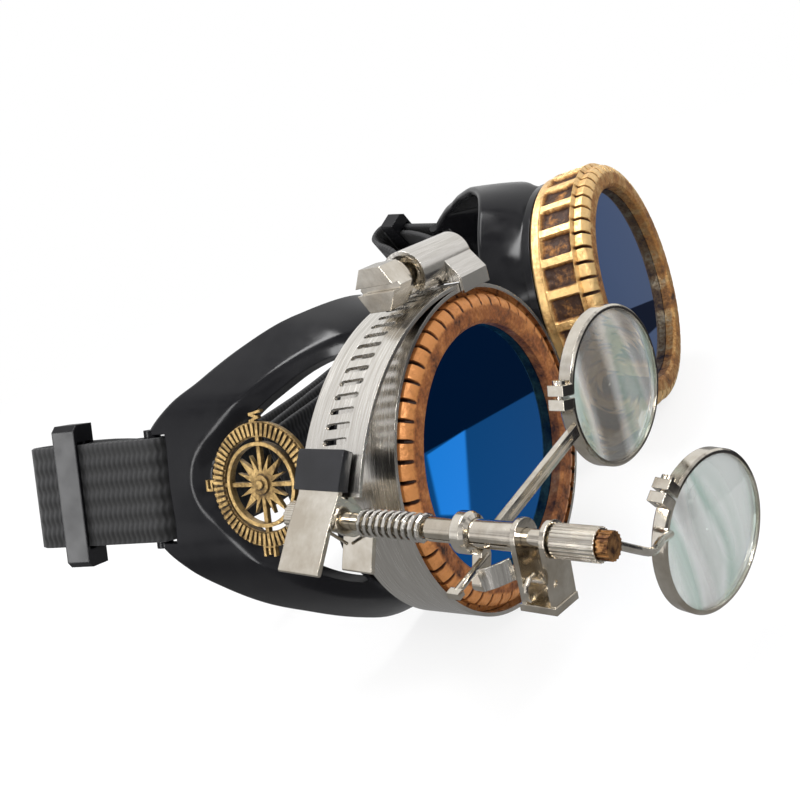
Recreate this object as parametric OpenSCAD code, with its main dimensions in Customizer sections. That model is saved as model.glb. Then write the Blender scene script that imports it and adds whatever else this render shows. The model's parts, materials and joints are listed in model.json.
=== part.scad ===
// Steampunk goggles: two moulded eye cups, a screw rim and lens on each, a
// compass in the right window, and a pair of magnifying loupes that hang from
// a hose clamp round the right rim.
// Origin: the centre of the right rim's front opening, on the right cup's axis.
// X runs to the wearer's left, the lenses face -Y and Z is up.

/* [Face fit] */
// Distance between the two cup centres
cup_spacing = 70.8; // [68:0.1:78]
// Angle that each temple wing is rolled up about its cup's axis
wing_roll = 25; // [0:1:30]
// Angle that the soft bridge lets the left cup turn outward
left_turn = 7.7; // [0:0.1:10]
// Angle that the soft bridge lets the left cup tip upward
left_tip = 4.7; // [0:0.1:8]
// Distance that the left cup's front stands ahead of the right cup's
left_lead = 1.5; // [0:0.1:3]

/* [Rims and lenses] */
// Radius of the dark lens
lens_r = 25; // [24.5:0.1:25.2]
// Thickness of the dark lens
lens_t = 2; // [1.6:0.1:2.2]
// Width of the lip that holds the lens's edge
lip_w = 2; // [1.6:0.1:2.4]
// Thickness of the rim from its bore to the top of its ribs
rim_wall = 2.4; // [2.2:0.1:2.8]
// Height of the ribs above the front lip
rib_h = 1.1; // [0.8:0.1:1.3]
// Width of the rim from front to back
rim_w = 12.4; // [11.5:0.1:13]
// Number of ribs round the rim
rib_count = 26; // [20:1:30]
// Number of notches round the front lip
notch_count = 52; // [40:1:60]

/* [Eye cups] */
// Distance that the neck stands out past the lens's edge
neck_over = 2; // [1.8:0.1:2.2]
// Thickness of the neck's wall
neck_wall = 3.2; // [2.8:0.1:3.4]
// Thickness of the skirt's wall
wall_t = 2.4; // [2:0.1:2.6]
// Distance that the face edge flares out past the neck on the nose side
face_flare = 1.8; // [1.6:0.1:2.4]
// Depth of the face edge on the nose side, behind the rim front
face_y = 24.5; // [24:0.1:26]

/* [Compass] */
// Radius of the compass band
compass_r = 11.2; // [10.5:0.1:11.4]
// Thickness of the compass casting
compass_t = 1.5; // [1.2:0.1:1.8]
// Number of teeth on the band
compass_teeth = 60; // [40:4:72]

/* [Hose clamp] */
// Thickness of the steel strip
band_t = 0.7; // [0.6:0.05:0.8]
// Distance between neighbouring slots in the strip
slot_pitch = 2.57; // [2.4:0.01:2.7]
// Length of one slot across the strip
slot_len = 5; // [4:0.1:6]
// Width across the flats of the screw head
hex_flats = 7.6; // [7:0.1:7.8]

/* [Loupes] */
// Outer radius of a loupe ring
loupe_r = 13; // [12:0.1:13.4]
// Distance from the shaft to the centre of a loupe
arm_reach = 38.4; // [36:0.1:40]
// Angle of the upper loupe's arm above level
upper_swing = 1; // [-10:1:60]
// Angle of the lower loupe's arm above level
lower_swing = -34.8; // [-60:1:10]
// Radius of the loupe shaft
shaft_r = 1.3; // [1.1:0.05:1.35]

/* [Strap] */
// Width of the elastic strap
strap_w = 20; // [18:0.5:20.5]
// Thickness of the elastic strap
strap_t = 1.3; // [1:0.1:1.4]

/* [Fits] */
// Clearance of the rim's bore over the neck
rim_fit = 0.1; // [0.05:0.01:0.15]
// Clearance of a turning part on its shaft
shaft_fit = 0.06; // [0.03:0.01:0.1]
// Clearance between parts that only lie close
lie_gap = 0.3; // [0.25:0.05:0.35]

/* [Hidden] */
eps = 0.01;

// Radii about a cup's axis
sight_r = lens_r - lip_w;
neck_r = lens_r + neck_over;
neck_bore_r = neck_r - neck_wall;
face_r = neck_r + face_flare;
rib_r = neck_r + rim_fit + rim_wall;
lip_r = rib_r - rib_h;

// Depths along a cup's axis
lens_y = 1.7;
seal_y = lens_y + lens_t + 0.05;
seal_t = 0.9;
neck_y = seal_y + seal_t + 0.05;
shoulder_y = rim_w + 0.3;
skirt_y = 15.5;

// Edge of the shell: side, depth and height of points from the brow back to the wing's end
brow_edge = [[5, 24.6, 31.3], [12, 26.4, 30.3], [16, 29, 29], [20, 32, 27.4], [25, 38.4, 23.1],
  [30, 44.8, 18.3], [32.6, 50, 14.5], [33, 56, 10]];
cheek_edge = [[5, 25, -31.8], [12, 26.4, -30], [20, 32, -27.5], [25, 38.4, -25.2], [29, 44.8, -21],
  [32, 50, -17.7], [33, 56, -13]];
temple_side = [
  [30, 15, 9], [30, 15, -10], [32, 40, 13], [32, 40, -14], [33.6, 56.6, 8], [33.6, 56.6, -11]];
edge_r = 1;
bar_at = [33, 57.2];
bar_r = 1.6;
wing_z = -1;
strap_z = -1.75;

// Window in the temple side
win_y = [21, 37];
win_z = 16.6;
win_r = [3.5, 6];
bevel_w = 3.4;
bevel_turn = 7.4;
bevel_x = 29.4;

// Copper and black
copper = [0.72, 0.43, 0.22];
black = [0.07, 0.07, 0.08];
brass = [0.66, 0.52, 0.27];
steel = [0.78, 0.78, 0.76];
nickel = [0.85, 0.82, 0.74];
blue_glass = [0.10, 0.25, 0.55];
clear_glass = [0.75, 0.86, 0.82];

// A cylinder that runs along +Y from the origin
module bar_y(h, r, n = 48) rotate([-90, 0, 0]) cylinder(h = h, r = r, $fn = n);

// Turns a drawing of radius and depth about the Y axis
module lathe_y(n = 96) rotate([-90, 0, 0]) rotate_extrude($fn = n) children();

// Draws in the X-Z plane and runs back along +Y from y0 to y0 + h
module plate_y(y0, h) translate([0, y0 + h, 0]) rotate([90, 0, 0]) linear_extrude(h) children();

// Places for the parts of the right cup, the left cup, the clamp and the shaft
module right_side() mirror([1, 0, 0]) rotate([0, -wing_roll, 0]) children();
module left_side()
  translate([cup_spacing, -left_lead, 0]) rotate([-left_tip, 0, left_turn]) rotate([0, -wing_roll, 0])
    children();
hinge_at = [-37.2, 3, 11.1];
shaft_turn = -4;
module on_shaft() translate(hinge_at) rotate([0, 0, shaft_turn]) children();

// Section: tubes and ribbons along a path
function unit(v) = v / norm(v);
function tangent(p, i) = unit(p[min(i + 1, len(p) - 1)] - p[max(i - 1, 0)]);
function square_to(v, t) = unit(v - (v * t) * t);
function frames(p, n0, i = 0) =
  i >= len(p) ? [] :
  let (n = square_to(n0, tangent(p, i))) concat([n], frames(p, n, i + 1));
module tube(p, r, start_normal = [0, 0, 1], sides = 6) {
  normals = frames(p, start_normal);
  points = [for (i = [0:len(p) - 1]) let (n = normals[i], b = cross(tangent(p, i), n))
    for (k = [0:sides - 1]) p[i] + r * (cos(360 * k / sides) * n + sin(360 * k / sides) * b)];
  ends = [[for (k = [0:sides - 1]) k],
    [for (k = [sides - 1:-1:0]) (len(p) - 1) * sides + k]];
  skin = [for (i = [0:len(p) - 2]) for (k = [0:sides - 1])
    [i * sides + k, (i + 1) * sides + k, (i + 1) * sides + (k + 1) % sides, i * sides + (k + 1) % sides]];
  polyhedron(concat(points), concat(ends, skin), convexity = 8);
}
function spline(a, b, c, d, t) =
  0.5 * (2 * b + (c - a) * t + (2 * a - 5 * b + 4 * c - d) * t * t + (3 * b - a - 3 * c + d) * t * t * t);
function smooth(p, steps) = concat(
  [for (i = [0:len(p) - 2]) for (s = [0:steps - 1])
    spline(p[max(i - 1, 0)], p[i], p[i + 1], p[min(i + 2, len(p) - 1)], s / steps)],
  [p[len(p) - 1]]);
// Each station is a place and the way its width points, as [x, y, z, up_x, up_y, up_z]
function lean(x, y, z, a) = [x, y, z, sin(a), 0, cos(a)];
module ribbon(stations, w, t) {
  p = [for (s = stations) [s[0], s[1], s[2]]];
  points = [for (i = [0:len(p) - 1])
    let (s = stations[i], d = tangent(p, i), up = square_to([s[3], s[4], s[5]], d), n = cross(d, up))
    for (c = [[-1, -1], [1, -1], [1, 1], [-1, 1]]) p[i] + c[0] * t / 2 * n + c[1] * w / 2 * up];
  last = 4 * (len(p) - 1);
  ends = [[0, 1, 2, 3], [last + 3, last + 2, last + 1, last]];
  skin = [for (i = [0:len(p) - 2]) for (k = [0:3])
    [4 * i + k, 4 * (i + 1) + k, 4 * (i + 1) + (k + 1) % 4, 4 * i + (k + 1) % 4]];
  polyhedron(points, concat(ends, skin), convexity = 12);
}

// Section: eye cups
module ring_slice(y, r) translate([0, y, 0]) bar_y(0.6, r, 64);
module dots(points, r = edge_r) for (p = points) translate(p) sphere(r = r, $fn = 12);
module skirt_outside() hull() {
  ring_slice(skirt_y, neck_r + 0.2);
  ring_slice(face_y - 0.6, face_r);
  dots(concat(brow_edge, cheek_edge, temple_side));
}
function inward(p, w, back) =
  let (k = 1 - w / norm([p[0], p[2]])) [p[0] * k, p[1] + back, p[2] * k];
module skirt_inside() hull() {
  ring_slice(skirt_y + 1, neck_bore_r);
  ring_slice(face_y + 0.2, face_r - wall_t);
  ring_slice(face_y + 12, face_r - wall_t - 1);
  dots([for (p = concat(brow_edge, cheek_edge)) inward(p, wall_t, 5)], edge_r);
  dots([for (p = concat(brow_edge, cheek_edge)) inward(p, wall_t, 0)], edge_r);
  dots([for (p = temple_side) p - [wall_t, 0, 0]], edge_r);
  dots([for (p = temple_side) p - [wall_t, -6, 0]], edge_r);
}
module window_outline(grow = 0) hull() {
  translate([win_y[1], 0]) circle(r = win_r[1] + grow, $fn = 40);
  for (s = [-1, 1]) translate([win_y[0], s * win_z]) circle(r = win_r[0] + grow, $fn = 24);
}
module through_window(depth, grow = 0) rotate([90, 0, 90]) linear_extrude(depth) window_outline(grow);
module on_bevel() translate([bevel_x, win_y[0], 0]) rotate([0, 0, -bevel_turn]) children();
slot_h = strap_w + 1;
slot_y = [52.4, bar_at[1] - bar_r + 0.2];
lug_at = [-31.2, 21];
lug_h = 13;
rivet_r = 1.4;
module cup() {
  difference() {
    union() {
      translate([0, neck_y, 0]) bar_y(skirt_y - neck_y + 0.5, neck_r, 96);
      translate([0, shoulder_y, 0]) bar_y(1.8, neck_r + 1.6, 96);
      skirt_outside();
    }
    skirt_inside();
    translate([0, neck_y - 1, 0]) bar_y(skirt_y - neck_y + 6, neck_bore_r, 96);
    translate([15, 0, wing_z]) through_window(30);
    translate([0, 0, wing_z]) on_bevel() translate([0, -win_y[0], 0]) through_window(10, bevel_w);
    translate([15, slot_y[0], strap_z - slot_h / 2]) cube([40, slot_y[1] - slot_y[0], slot_h]);
    translate([15, slot_y[1], strap_z - slot_h / 2]) cube([40, 10, slot_h]);
  }
  translate([bar_at[0], bar_at[1], strap_z - slot_h / 2 - 1]) cylinder(h = slot_h + 2, r = bar_r, $fn = 32);
  difference() {
    translate([lug_at[0] - 3.1, lug_at[1] - 1, -lug_h / 2]) cube([5.9, 2, lug_h]);
    translate([lug_at[0] - 0.6, lug_at[1] - 2, 0]) bar_y(4, rivet_r + shaft_fit, 24);
  }
}
module right_cup() color(black) right_side() cup();
module left_cup() color(black) left_side() cup();

// Section: seal, lens and rim, shared by both sides
module seal() translate([0, seal_y, 0]) lathe_y()
  translate([neck_bore_r, 0]) square([lens_r - neck_bore_r, seal_t]);
module lens() translate([0, lens_y, 0]) bar_y(lens_t, lens_r, 96);
rib_y = [2.5, 9.8];
recess_r = rib_r - 1.3;
module rim_body() lathe_y(104) polygon([
  [sight_r, -0.2], [sight_r + 0.6, -0.8], [sight_r + 3, -0.9], [lip_r - 0.7, -0.3], [lip_r, 0.4],
  [lip_r, rib_y[0] - 0.6], [rib_r, rib_y[0]], [rib_r, rib_y[1]], [rib_r - 0.4, rib_y[1] + 0.5],
  [rib_r - 0.4, rim_w - 0.5], [rib_r - 0.9, rim_w], [neck_r + rim_fit, rim_w],
  [neck_r + rim_fit, seal_y], [lens_r + rim_fit, seal_y], [lens_r + rim_fit, lens_y - 0.05],
  [sight_r, lens_y - 0.05]]);
module rim() difference() {
  rim_body();
  for (i = [0:rib_count - 1]) rotate([0, i * 360 / rib_count, 0])
    translate([recess_r, rib_y[0] + 0.4, -1.9]) cube([3, rib_y[1] - rib_y[0] - 0.8, 3.4]);
  for (i = [0:notch_count - 1]) rotate([0, (i + 0.5) * 360 / notch_count, 0])
    translate([lip_r - 0.7, -1, -0.35]) cube([2, 2.1, 0.7]);
}
module right_seal() color(black) right_side() seal();
module left_seal() color(black) left_side() seal();
module right_lens() color(blue_glass) right_side() lens();
module left_lens() color(blue_glass) left_side() lens();
module right_rim() color(copper) right_side() rim();
module left_rim() color(copper) left_side() rim();

// Section: compass, drawn flat with its top along +Y of the drawing
hub_r = 1.7;
ring_in = 7.3;
module petal(len, w) polygon([[0.6, -w / 2], [len * 0.45, -w], [len, 0], [len * 0.45, w], [0.6, w / 2]]);
module stroke(a, b, w = 0.5) {
  d = b - a;
  translate(a) rotate(atan2(d[1], d[0])) translate([-w / 2, -w / 2]) square([norm(d) + w, w]);
}
module strokes(p) for (i = [0:len(p) - 2]) stroke(p[i], p[i + 1]);
letter_h = 1.1;
module letter_n() strokes([[-0.8, -letter_h], [-0.8, letter_h], [0.8, -letter_h], [0.8, letter_h]]);
module letter_s() strokes([
  [-0.8, -letter_h], [0.8, -letter_h], [0.8, 0], [-0.8, 0], [-0.8, letter_h], [0.8, letter_h]]);
module letter_w() strokes([
  [-1.1, letter_h], [-0.6, -letter_h], [0, 0.5], [0.6, -letter_h], [1.1, letter_h]]);
module letter_e() {
  strokes([[0.8, letter_h], [-0.8, letter_h], [-0.8, -letter_h], [0.8, -letter_h]]);
  stroke([-0.8, 0], [0.5, 0]);
}
module letter_place(way) translate((compass_r + 0.7) * way) children();
module compass_plate() {
  difference() {
    circle(r = compass_r, $fn = 96);
    circle(r = compass_r - 2.7, $fn = 96);
  }
  difference() {
    circle(r = ring_in + 0.35, $fn = 72);
    circle(r = ring_in - 0.35, $fn = 72);
  }
  for (a = [0:90:270]) rotate(a) translate([0, -0.4]) square([compass_r - 1, 0.8]);
  for (a = [45:90:315]) rotate(a) petal(6.6, 0.75);
  for (a = [22.5:45:337.5]) rotate(a) petal(5.6, 0.5);
  letter_place([0, 1]) letter_n();
  letter_place([1, 0]) letter_e();
  letter_place([0, -1]) letter_s();
  letter_place([-1, 0]) letter_w();
}
module compass() color(brass) right_side() translate([0, 0, wing_z]) on_bevel()
  translate([0, 8.8, -0.2]) rotate([90, 0, 90]) mirror([1, 0, 0]) rotate(-90) {
    linear_extrude(compass_t - 0.5) compass_plate();
    for (i = [0:compass_teeth - 1]) rotate((i + 0.5) * 360 / compass_teeth)
      translate([compass_r - 2.5, -0.3, compass_t - 0.6]) cube([2.3, 0.6, 0.6]);
    cylinder(h = compass_t, r = hub_r, $fn = 32);
    cylinder(h = compass_t + 0.4, r = 0.8, $fn = 24);
    translate([0, 0, compass_t - 0.6]) difference() {
      cylinder(h = 0.6, r = ring_in + 0.35, $fn = 72);
      translate([0, 0, -1]) cylinder(h = 3, r = ring_in - 0.35, $fn = 72);
    }
  }

// Section: bridge between the cups
function roll_side(s, o, z) =
  [s * (o * cos(wing_roll) - z * sin(wing_roll)), o * sin(wing_roll) + z * cos(wing_roll)];
function place_right(o, y, z) = let (r = roll_side(-1, o, z)) [r[0], y, r[1]];
function place_left(o, y, z) =
  let (r = roll_side(1, o, z), p = [r[0], y * cos(left_tip) + r[1] * sin(left_tip),
    r[1] * cos(left_tip) - y * sin(left_tip)])
  [cup_spacing + p[0] * cos(left_turn) - p[1] * sin(left_turn),
    p[0] * sin(left_turn) + p[1] * cos(left_turn) - left_lead, p[2]];
bridge_t = 1.6;
bridge_w = 10;
bridge_y = lug_at[1] + 1 + bridge_t / 2 + 0.02;
function on_right(o, y, z) = let (p = place_right(o, y, z)) concat(p, place_right(o, y, z + 1) - p);
function on_left(o, y, z) = let (p = place_left(o, y, z)) concat(p, place_left(o, y, z + 1) - p);
bridge_mid = (on_right(lug_at[0] - 4.8, bridge_y, 0) + on_left(lug_at[0] - 4.8, bridge_y, 0)) / 2;
bend = [lug_at[0] - 3.6, lug_at[0] - 4.4];
module bridge_strip() color(black) difference() {
  ribbon(concat(
    [on_right(lug_at[0] + 1.6, bridge_y, 0)],
    smooth([on_right(bend[0], bridge_y, 0), on_right(bend[1], bridge_y, 0), bridge_mid,
      on_left(bend[1], bridge_y, 0), on_left(bend[0], bridge_y, 0)], 5),
    [on_left(lug_at[0] + 1.6, bridge_y, 0)]), bridge_w, bridge_t);
  right_side() rivet_hole();
  left_side() rivet_hole();
}
module rivet_hole() translate([lug_at[0] - 0.6, lug_at[1] - 3, 0]) bar_y(8, rivet_r + shaft_fit, 24);
module rivet() {
  head_t = 0.8;
  grip = 2 + bridge_t + 0.06;
  translate([lug_at[0] - 0.6, lug_at[1] - 1, 0]) {
    bar_y(grip, rivet_r, 24);
    translate([0, -head_t, 0]) bar_y(head_t, rivet_r + 1, 24);
    translate([0, grip, 0]) bar_y(head_t, rivet_r + 1, 24);
  }
}
module right_bridge_rivet() color(steel) right_side() rivet();
module left_bridge_rivet() color(steel) left_side() rivet();

// Section: strap, stowed in three passes behind the cups
tongue_turn = 22;
wrap_r = bar_r + lie_gap + strap_t / 2;
layer_gap = 2.6;
function tongue(l, off = 0) = [
  bar_at[0] + (wrap_r - off) * cos(tongue_turn) + l * sin(tongue_turn),
  bar_at[1] - (wrap_r - off) * sin(tongue_turn) + l * cos(tongue_turn)];
function wrap(a) = [bar_at[0] + wrap_r * cos(a), bar_at[1] + wrap_r * sin(a)];
slider_l = 17;
// From the loose end by the slider, round the bar, out again and over the end fold
end_path = concat(
  [tongue(slider_l + 5, layer_gap), tongue(slider_l, layer_gap), tongue(slider_l - 5, layer_gap),
    tongue(6, layer_gap + 1)],
  [for (a = [180:30:360]) wrap(a - tongue_turn)],
  [tongue(4), tongue(12), tongue(slider_l), tongue(23.5), tongue(25.6, 0.7), tongue(26.4, 3),
    tongue(25.4, 5.4), tongue(22, 7.2), tongue(14, 9.6)]);
lane_y = [64, 60, 56];
fold_x = 68;
right_tongue = [for (p = end_path) on_right(p[0], p[1], strap_z)];
left_tongue = [for (p = end_path) on_left(p[0], p[1], strap_z)];
function reverse(v) = [for (i = [len(v) - 1:-1:0]) v[i]];
strap_path = concat(right_tongue, [
    lean(-10, lane_y[0] + 1, 6, 14), lean(15, lane_y[0], 1.5, 5), lean(45, lane_y[0], 0.5, 0),
    lean(fold_x - 6, lane_y[0], 1.5, -2), lean(fold_x, lane_y[0] - 0.6, 1.8, -2),
    lean(fold_x, lane_y[1] + 0.6, 1.8, -2), lean(fold_x - 6, lane_y[1], 1.5, -2),
    lean(45, lane_y[1], 0.5, 0), lean(15, lane_y[1], 1.5, 3), lean(4, lane_y[1], 2, 4),
    lean(0, lane_y[1] - 0.6, 2, 4), lean(0, lane_y[2] + 0.6, 2, 4), lean(4, lane_y[2], 2, 4),
    lean(25, lane_y[2], 0.5, 0), lean(56, lane_y[2], 1.5, -3), lean(72, lane_y[2] + 1.5, 3, -8),
    lean(82, lane_y[2] + 8, 5, -16)],
  reverse(left_tongue));
module strap() color(black) ribbon(smooth(strap_path, 4), strap_w, strap_t);

// Section: sliders
slider_h = 28;
slider_len = 5;
slider_th = 6;
module slider() {
  base = tongue(slider_l, layer_gap / 2);
  slot_t = strap_t + 0.7;
  translate([base[0], base[1], strap_z]) rotate([0, 0, -tongue_turn]) difference() {
    translate([-slider_th / 2, -slider_len / 2, -slider_h / 2]) cube([slider_th, slider_len, slider_h]);
    for (s = [-1, 1]) translate([s * layer_gap / 2 - slot_t / 2, -slider_len, -strap_w / 2 - 0.5])
      cube([slot_t, 2 * slider_len, strap_w + 1]);
    for (s = [-1, 1]) translate([slider_th / 2 + 1.2, 0, s * (slider_h / 2 + 1.2)]) rotate([0, 45, 0])
      cube([5, 2 * slider_len, 5], center = true);
  }
}
module right_slider() color(black) right_side() slider();
module left_slider() color(black) left_side() slider();

// Section: hose clamp
band_in = rib_r + 0.05;
band_out = band_in + band_t;
tail_c = [-3.46, -10.18];
tail_in = norm(tail_c) + band_out - 0.05;
tail_out = tail_in + band_t;
tail_start = 71.2;
tail_end = 142.6;
module sector(r1, r2, a1, a2, n = 120) intersection() {
  difference() {
    circle(r = r2, $fn = n);
    circle(r = r1, $fn = n);
  }
  polygon(concat([[0, 0]], [for (i = [0:6]) let (a = a1 + (a2 - a1) * i / 6) 1.3 * r2 * [cos(a), sin(a)]]));
}
slot_first = 94.7;
slot_step = slot_pitch / tail_in * 180 / PI;
module slot_cut() rotate([0, 90, 0]) rotate(4) linear_extrude(6) {
  square([1.1, slot_len - 1.1], center = true);
  for (s = [-1, 1]) translate([0, s * (slot_len - 1.1) / 2]) circle(d = 1.1, $fn = 12);
}
module clamp_band() color(steel) difference() {
  union() {
    difference() {
      bar_y(rim_w, band_out, 120);
      translate([0, -1, 0]) bar_y(rim_w + 2, band_in, 120);
    }
    plate_y(0, rim_w) translate(tail_c) sector(tail_in, tail_out, tail_start, tail_end);
  }
  for (i = [-4:13]) let (a = slot_first + i * slot_step)
    translate([tail_c[0], rim_w / 2, tail_c[1]]) rotate([0, -a, 0])
      translate([tail_in - 0.15, 0, 0]) slot_cut();
}
worm_turn = 10;
worm_z = band_out + 4.65;
barrel_x = [-5.7, 9.7];
barrel_r = 4.5;
barrel_bore = 3.75;
module on_worm() translate([0, rim_w / 2, 0]) rotate([0, worm_turn, 0]) children();
module bar_x(h, r, n = 48) rotate([0, 90, 0]) cylinder(h = h, r = r, $fn = n);
foot_x = 1;
foot_w = rim_w + 2 * 0.8;
foot_z = band_out + 1.05;
cheek_z = neck_r + 2.2;
module worm_housing() color(steel) on_worm() difference() {
  union() {
    translate([barrel_x[0], 0, worm_z]) bar_x(barrel_x[1] - barrel_x[0], barrel_r);
    hull() {
      translate([foot_x, 0, worm_z]) bar_x(barrel_x[1] - foot_x, barrel_r - 0.6, 32);
      translate([foot_x, -foot_w / 2, foot_z - 0.7]) cube([barrel_x[1] - foot_x, foot_w, 1.4]);
    }
    for (s = [-1, 1]) translate([foot_x, s * (foot_w / 2 - 0.35) - 0.35, cheek_z])
      cube([barrel_x[1] - foot_x, 0.7, foot_z - cheek_z]);
  }
  translate([barrel_x[0] - 1, 0, worm_z]) bar_x(20, barrel_bore);
  translate([0, -rim_w / 2 - 0.1, 0]) bar_y(rim_w + 0.2, band_out + 1.1, 120);
  translate([barrel_x[0] - 1, -rim_w / 2, band_in]) cube([foot_x - barrel_x[0] - 1, rim_w, band_t + 1.7]);
}
worm_len = 13;
worm_r = 3.3;
thread_h = 1;
head_x = -14.4;
head_len = 5;
collar_len = 0.9;
module worm_screw() color(steel) on_worm() translate([0, 0, worm_z]) {
  difference() {
    translate([head_x, 0, 0]) rotate([30, 0, 0]) bar_x(head_len, hex_flats / sqrt(3), 6);
    translate([head_x - 0.6, -hex_flats, -0.6]) cube([2.2, 2 * hex_flats, 1.2]);
  }
  translate([head_x + head_len - eps, 0, 0]) bar_x(collar_len, hex_flats / 2);
  translate([head_x + head_len + collar_len - 2 * eps, 0, 0]) bar_x(4, 2.4);
  translate([barrel_x[0] + 1.1, 0, 0]) rotate([0, 90, 0])
    linear_extrude(worm_len, twist = -360 * worm_len / slot_pitch, slices = 12 * worm_len / slot_pitch)
      translate([thread_h / 2, 0]) circle(r = worm_r - thread_h / 2, $fn = 20);
}

// Section: spring clip that grips the strip's tail
jaw_y = [-0.6, 8.2];
jaw_t = 0.8;
jaw_c = [tail_c[0] - hinge_at[0] - 0.3, tail_c[1] - hinge_at[2]];
sleeve_a = [133, 141.4];
sleeve_out = [tail_out + 0.35, tail_out + 2.35];
sleeve_in = [tail_in - 2.35, tail_in - 0.35];
ear_r = 2.4;
module bent_strip(p, t = jaw_t) for (i = [0:len(p) - 2]) hull() {
  translate(p[i]) circle(d = t, $fn = 16);
  translate(p[i + 1]) circle(d = t, $fn = 16);
}
function on_arc(r, a) = jaw_c + r * [cos(a), sin(a)];
outer_mid = (sleeve_out[0] + sleeve_out[1]) / 2;
inner_mid = (sleeve_in[0] + sleeve_in[1]) / 2;
outer_bend = [-5.3, 1.8];
outer_tip = [-10.1, -2.2];
inner_bend = [3.4, -5.2];
inner_tip = [-0.1, -9.9];
module ears(y1, y2, root_a, root_b) for (y = [y1, y2 - jaw_t]) plate_y(y, jaw_t) hull() {
  circle(r = ear_r, $fn = 32);
  translate(root_a) circle(d = jaw_t, $fn = 12);
  translate(root_b) circle(d = jaw_t, $fn = 12);
}
module shaft_hole(r = shaft_r + shaft_fit) translate([0, -60, 0]) bar_y(90, r, 32);
module outer_jaw() color(nickel) on_shaft() difference() {
  union() {
    plate_y(jaw_y[0], jaw_y[1] - jaw_y[0]) {
      translate(jaw_c) sector(outer_mid - jaw_t / 2, outer_mid + jaw_t / 2, sleeve_a[0] + 0.6, 142.4);
      bent_strip([on_arc(outer_mid, 142.2), outer_bend, outer_tip]);
    }
    ears(jaw_y[0], jaw_y[1], on_arc(outer_mid, 142.6), outer_bend * 0.7);
  }
  shaft_hole();
}
inner_y = [jaw_y[0] + jaw_t + 0.3, jaw_y[1] - jaw_t - 0.3];
module inner_jaw() color(nickel) on_shaft() difference() {
  union() {
    plate_y(inner_y[0], inner_y[1] - inner_y[0]) {
      translate(jaw_c) sector(inner_mid - jaw_t / 2, inner_mid + jaw_t / 2, sleeve_a[0] + 0.6, 142.4);
      bent_strip([on_arc(inner_mid, 142.2), inner_bend, inner_tip]);
    }
    ears(inner_y[0], inner_y[1], on_arc(inner_mid, 142.6), inner_bend * 0.6);
  }
  shaft_hole();
}
sleeve_gap = jaw_t / 2 + 0.02;
module sleeve(r, y) difference() {
  plate_y(y[0] - 0.6, y[1] - y[0] + 1.2) translate(jaw_c) sector(r[0], r[1], sleeve_a[0], sleeve_a[1]);
  plate_y(y[0] - 0.02, y[1] - y[0] + 0.04) translate(jaw_c)
    sector((r[0] + r[1]) / 2 - sleeve_gap, (r[0] + r[1]) / 2 + sleeve_gap, sleeve_a[0] + 0.5, 150);
}
module outer_jaw_sleeve() color(black) on_shaft() sleeve(sleeve_out, jaw_y);
module inner_jaw_sleeve() color(black) on_shaft() sleeve(sleeve_in, inner_y);
wire_r = 0.3;
coil_r = shaft_r + wire_r + 0.15;
coil_turns = 3;
coil_pitch = 1.1;
function coil(r, pitch, turns, y0, a0, rings = 8) = [for (i = [0:rings * turns])
  let (a = a0 + 360 * i / rings) [r * cos(a), y0 + pitch * i / rings, r * sin(a)]];
coil_y = jaw_y[0] + 2.6;
module jaw_spring() color(steel) on_shaft() tube(concat(
  [[-6.9, coil_y, -0.8]], coil(coil_r, coil_pitch, coil_turns + 0.25, coil_y, 100, 12),
  [[1.5, coil_y + coil_pitch * (coil_turns + 0.25), -6.05]]), wire_r, [0, 1, 0]);
// Smallest space between neighbouring turns of the jaw spring
echo(jaw_spring_gap = coil_pitch - 2 * wire_r);

// Section: loupe shaft and what it carries, all along the shaft's own axis
tip_y = [-44.8, -43.2];
tip_r = 1.9;
tip_floor = 0.5;
shaft_y = [tip_y[0] + tip_floor + 0.1, 11.6];
module loupe_shaft() color(nickel) on_shaft() {
  translate([0, shaft_y[0], 0]) bar_y(shaft_y[1] - shaft_y[0], shaft_r, 32);
}
module knurled(h, r, n) difference() {
  bar_y(h, r, 40);
  for (i = [0:n - 1]) rotate([0, i * 360 / n, 0]) translate([r - 0.15, -1, -0.2]) cube([1, h + 2, 0.4]);
}
module rear_knob() color(nickel) on_shaft() difference() {
  translate([0, jaw_y[1] + 0.3, 0]) knurled(4.6, 2.5, 20);
  shaft_hole();
}
spring_wire = 0.4;
spring_r = shaft_r + spring_wire + 0.15;
spring_y = [-15.2, -2.3];
spring_turns = 10;
module shaft_spring() color(steel) on_shaft()
  tube(coil(spring_r, (spring_y[1] - spring_y[0]) / spring_turns, spring_turns, spring_y[0], 0, 12),
    spring_wire, [1, 0, 0]);
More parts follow.
